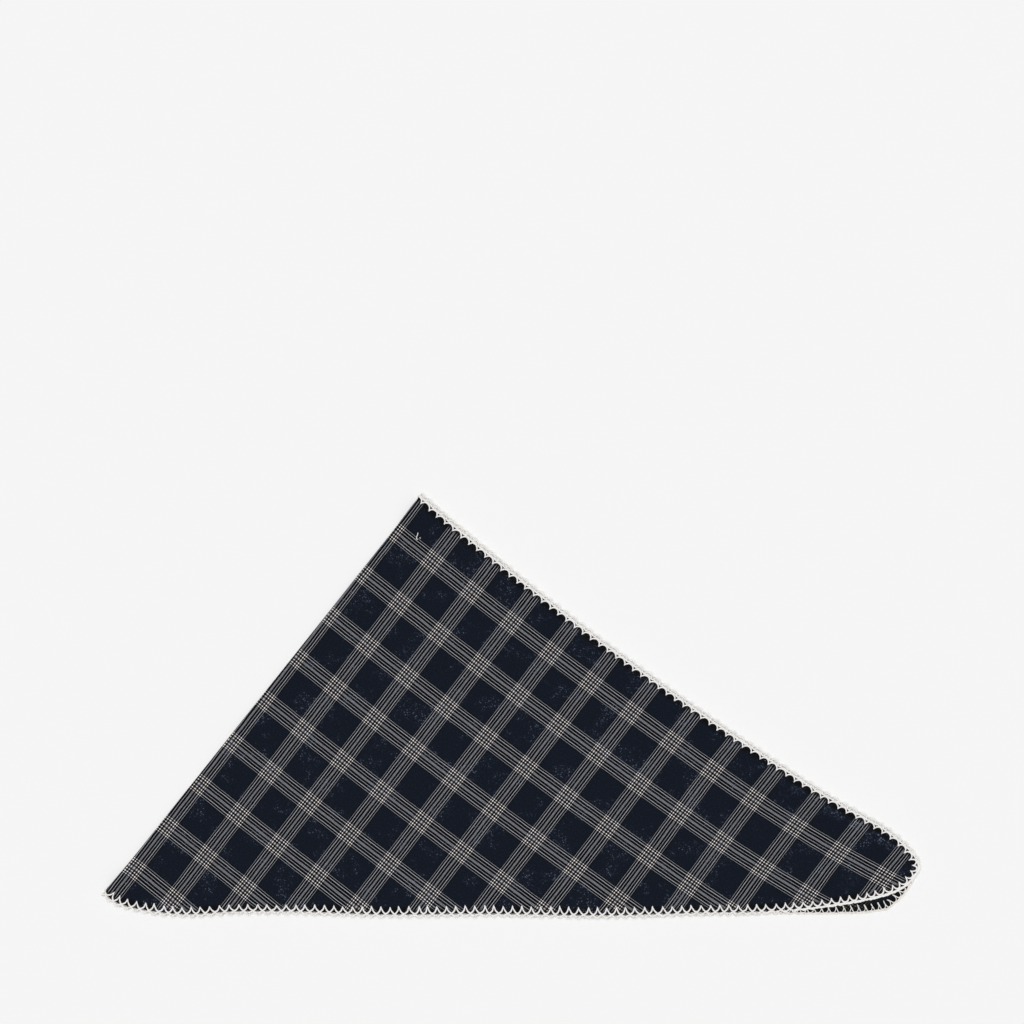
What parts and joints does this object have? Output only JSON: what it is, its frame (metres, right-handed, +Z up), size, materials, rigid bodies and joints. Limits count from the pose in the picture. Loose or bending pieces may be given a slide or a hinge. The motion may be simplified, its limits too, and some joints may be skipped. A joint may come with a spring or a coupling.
{
  "type": "triangle scarf",
  "caption": "Triangle scarf of dark checked woven cotton with a shell-stitched yarn edging, folded once in half and lying flat.",
  "frame": {"origin": "on the surface, under the middle of the folded scarf's outline", "axes": "+X along the leg towards the tie end, +Y towards the long edge, +Z up from the surface"},
  "size_m": [0.5352, 0.2792, 0.0059],
  "materials": {
    "checked_cotton": "matt plain weave, dark navy with a cream windowpane check",
    "edging_yarn": "matt cream yarn, sewn over the edge in shells"
  },
  "bodies": {
    "root": {"scarf_cloth": "checked_cotton", "shell_edging": "edging_yarn"}
  },
  "joints": []
}
